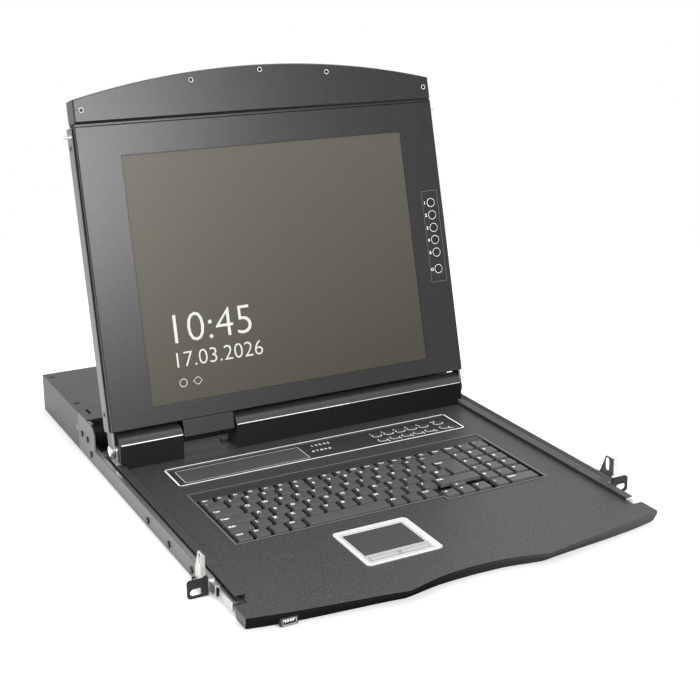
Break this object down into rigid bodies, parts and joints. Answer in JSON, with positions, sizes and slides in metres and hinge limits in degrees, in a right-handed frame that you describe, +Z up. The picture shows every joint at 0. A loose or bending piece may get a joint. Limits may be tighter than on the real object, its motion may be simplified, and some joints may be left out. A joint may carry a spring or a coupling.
{
  "type": "rackmount lcd console drawer",
  "caption": "One unit rack drawer with a keyboard, a touch pad and select buttons under a folding screen, on telescopic slides.",
  "frame": {"origin": "middle of the width, front plane of the rack ears, underside of the box", "axes": "+X to the right seen from the front, +Y to the back of the rack, +Z up"},
  "size_m": [0.4826, 0.6485, 0.4217],
  "materials": {
    "case_paint": "dark textured powder coat",
    "rail_paint": "satin light warm grey",
    "ear_paint": "satin black",
    "casing_paint": "satin grey",
    "zinc": "bright zinc",
    "bright_steel": "bright plated",
    "black_plastic": "matt",
    "bar_plastic": "dark, matt",
    "key_plastic": "matt",
    "window_plastic": "gloss",
    "silver_plastic": "silver, satin",
    "pad_plastic": "fine grain",
    "button_plastic": "satin",
    "screen_glass": "dark gloss",
    "board": "green board",
    "supply_case": "plain",
    "screw_black": "blackened"
  },
  "bodies": {
    "chassis": {"base_pan": "case_paint", "side_rail_left": "rail_paint", "side_rail_right": "rail_paint", "cross_strip": "case_paint", "rear_cover": "case_paint", "rear_panel": "case_paint", "switch_board": "board", "power_supply": "supply_case", "power_inlet": "black_plastic", "video_ports": "zinc", "rack_ear_left": "ear_paint", "rack_ear_right": "ear_paint", "latch_pivots": "zinc", "slide_outer_left": "zinc", "slide_outer_right": "zinc", "chassis_screws": "screw_black"},
    "rocker": {"power_switch": "black_plastic"},
    "left_latch": {"latch_left": "bright_steel"},
    "right_latch": {"latch_right": "bright_steel"},
    "middle_slides": {"slide_middle_left": "zinc", "slide_middle_right": "zinc"},
    "drawer": {"tray_deck": "case_paint", "tray_bottom": "case_paint", "slide_inner_left": "zinc", "slide_inner_right": "zinc", "keyboard_frame": "black_plastic", "keyboard_plate": "zinc", "strip_frame": "black_plastic", "display_window": "window_plastic", "touchpad_frame": "silver_plastic", "touchpad": "pad_plastic", "usb_port": "zinc", "usb_housing": "black_plastic", "hinge_cover_left": "case_paint", "hinge_cover_right": "case_paint", "hinge_bracket_left": "zinc", "hinge_bracket_right": "zinc", "cable_clip": "black_plastic", "tray_screws": "screw_black"},
    "function_keys": {"keys_function_row": "key_plastic"},
    "main_keys": {"keys_main": "key_plastic"},
    "space": {"space_bar": "key_plastic"},
    "cursor_keys": {"keys_cursor": "key_plastic"},
    "number_keys": {"keys_numpad": "key_plastic"},
    "pad_button_left": {"touch_button_left": "silver_plastic"},
    "pad_button_right": {"touch_button_right": "silver_plastic"},
    "select_buttons": {"port_buttons": "button_plastic"},
    "mode_pair": {"mode_buttons": "button_plastic"},
    "lid": {"lid_bezel": "case_paint", "lid_back": "casing_paint", "handle_bar": "bar_plastic", "lcd_panel": "screen_glass", "lcd_board": "board", "osd_strip": "black_plastic", "hinge_arm_left": "bright_steel", "hinge_arm_right": "bright_steel", "latch_catches": "bright_steel", "lid_screws": "screw_black"},
    "menu_buttons": {"osd_buttons": "button_plastic"},
    "screen_power": {"power_button": "button_plastic"}
  },
  "joints": [
    {"name": "drawer_slide", "type": "slide", "parent": "chassis", "child": "drawer", "axis": [0, -1, 0], "range_m": [-0.05, 0.32]},
    {"name": "middle_slide", "type": "slide", "parent": "chassis", "child": "middle_slides", "axis": [0, -1, 0], "range_m": [-0.025, 0.16]},
    {"name": "lid_hinge", "type": "hinge", "parent": "drawer", "child": "lid", "pos_m": [0, 0.2969, 0.0312], "axis": [-1, 0, 0], "range_deg": [-103.96, 16]},
    {"name": "latch_left_turn", "type": "hinge", "parent": "chassis", "child": "left_latch", "pos_m": [-0.2255, 0.015, 0.005], "axis": [0, -1, 0], "range_deg": [0, 8], "stiffness_Nm_per_rad": 0.1, "springref_deg": -11.46},
    {"name": "latch_right_turn", "type": "hinge", "parent": "chassis", "child": "right_latch", "pos_m": [0.2255, 0.015, 0.005], "axis": [0, 1, 0], "range_deg": [0, 8], "stiffness_Nm_per_rad": 0.1, "springref_deg": -11.46},
    {"name": "rocker_turn", "type": "hinge", "parent": "chassis", "child": "rocker", "pos_m": [-0.15, 0.538, 0.018], "axis": [1, 0, 0], "range_deg": [0, 14]},
    {"name": "function_key_press", "type": "slide", "parent": "drawer", "child": "function_keys", "axis": [0, 0, -1], "range_m": [0, 0.0022], "stiffness_N_per_m": 400, "springref_m": -0.001},
    {"name": "main_key_press", "type": "slide", "parent": "drawer", "child": "main_keys", "axis": [0, 0, -1], "range_m": [0, 0.0022], "stiffness_N_per_m": 2500, "springref_m": -0.001},
    {"name": "space_press", "type": "slide", "parent": "drawer", "child": "space", "axis": [0, 0, -1], "range_m": [0, 0.0022], "stiffness_N_per_m": 200, "springref_m": -0.001},
    {"name": "cursor_key_press", "type": "slide", "parent": "drawer", "child": "cursor_keys", "axis": [0, 0, -1], "range_m": [0, 0.0022], "stiffness_N_per_m": 200, "springref_m": -0.001},
    {"name": "number_key_press", "type": "slide", "parent": "drawer", "child": "number_keys", "axis": [0, 0, -1], "range_m": [0, 0.0022], "stiffness_N_per_m": 700, "springref_m": -0.001},
    {"name": "pad_left_press", "type": "slide", "parent": "drawer", "child": "pad_button_left", "axis": [0, 0, -1], "range_m": [0, 0.0006], "stiffness_N_per_m": 300, "springref_m": -0.001},
    {"name": "pad_right_press", "type": "slide", "parent": "drawer", "child": "pad_button_right", "axis": [0, 0, -1], "range_m": [0, 0.0006], "stiffness_N_per_m": 300, "springref_m": -0.001},
    {"name": "select_press", "type": "slide", "parent": "drawer", "child": "select_buttons", "axis": [0, 0, -1], "range_m": [0, 0.0007], "stiffness_N_per_m": 300, "springref_m": -0.001},
    {"name": "mode_press", "type": "slide", "parent": "drawer", "child": "mode_pair", "axis": [0, 0, -1], "range_m": [0, 0.0007], "stiffness_N_per_m": 200, "springref_m": -0.001},
    {"name": "menu_press", "type": "slide", "parent": "lid", "child": "menu_buttons", "axis": [0, 0.9705, -0.2412], "range_m": [0, 0.0006], "stiffness_N_per_m": 200, "springref_m": -0.001},
    {"name": "screen_power_press", "type": "slide", "parent": "lid", "child": "screen_power", "axis": [0, 0.9705, -0.2412], "range_m": [0, 0.0006], "stiffness_N_per_m": 200, "springref_m": -0.001}
  ],
  "couplings": [
    {"joint": "middle_slide", "follows": "drawer_slide", "ratio": 0.5}
  ]
}
